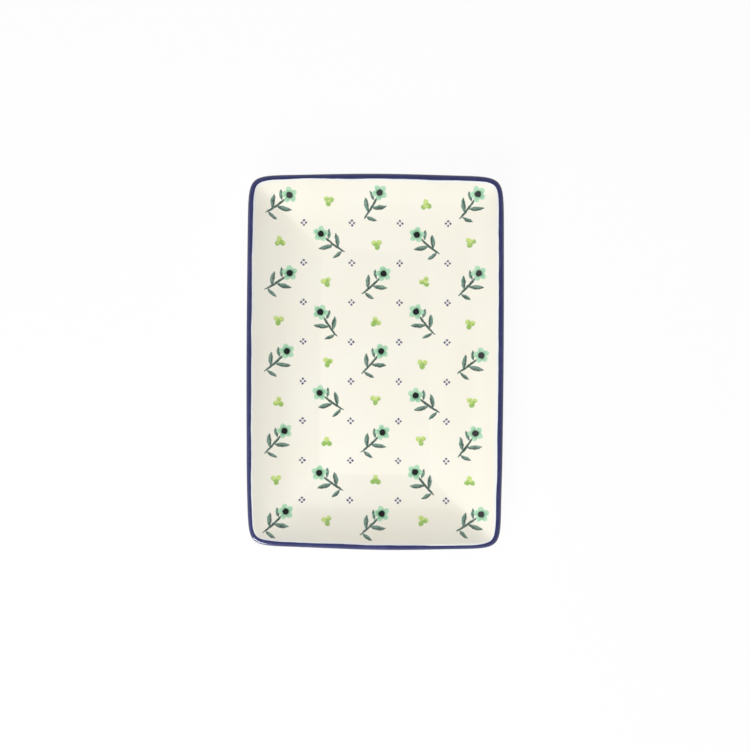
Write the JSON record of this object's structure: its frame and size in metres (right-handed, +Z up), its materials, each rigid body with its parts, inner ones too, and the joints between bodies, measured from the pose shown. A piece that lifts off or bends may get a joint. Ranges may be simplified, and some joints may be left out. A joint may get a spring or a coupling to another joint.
{
  "type": "sushi tray",
  "caption": "Shallow rectangular glazed stoneware serving tray with sloping mitred walls, a flat floor, a dark blue band over its round rim and a bare foot ring.",
  "frame": {"origin": "on the table, under the middle of the foot ring", "axes": "+Z up, +Y along the tray's long side, +X across it"},
  "size_m": [0.151, 0.22, 0.025],
  "materials": {
    "stoneware": "bare fired stoneware, matt and slightly gritty",
    "cream_glaze": "glossy cream glaze",
    "blue_glaze": "glossy dark blue glaze"
  },
  "bodies": {
    "root": {"stoneware_body": "stoneware", "foot_ring": "stoneware", "inside_glaze": "cream_glaze", "rim_band": "blue_glaze", "outside_glaze": "cream_glaze", "base_glaze": "cream_glaze"}
  },
  "joints": []
}
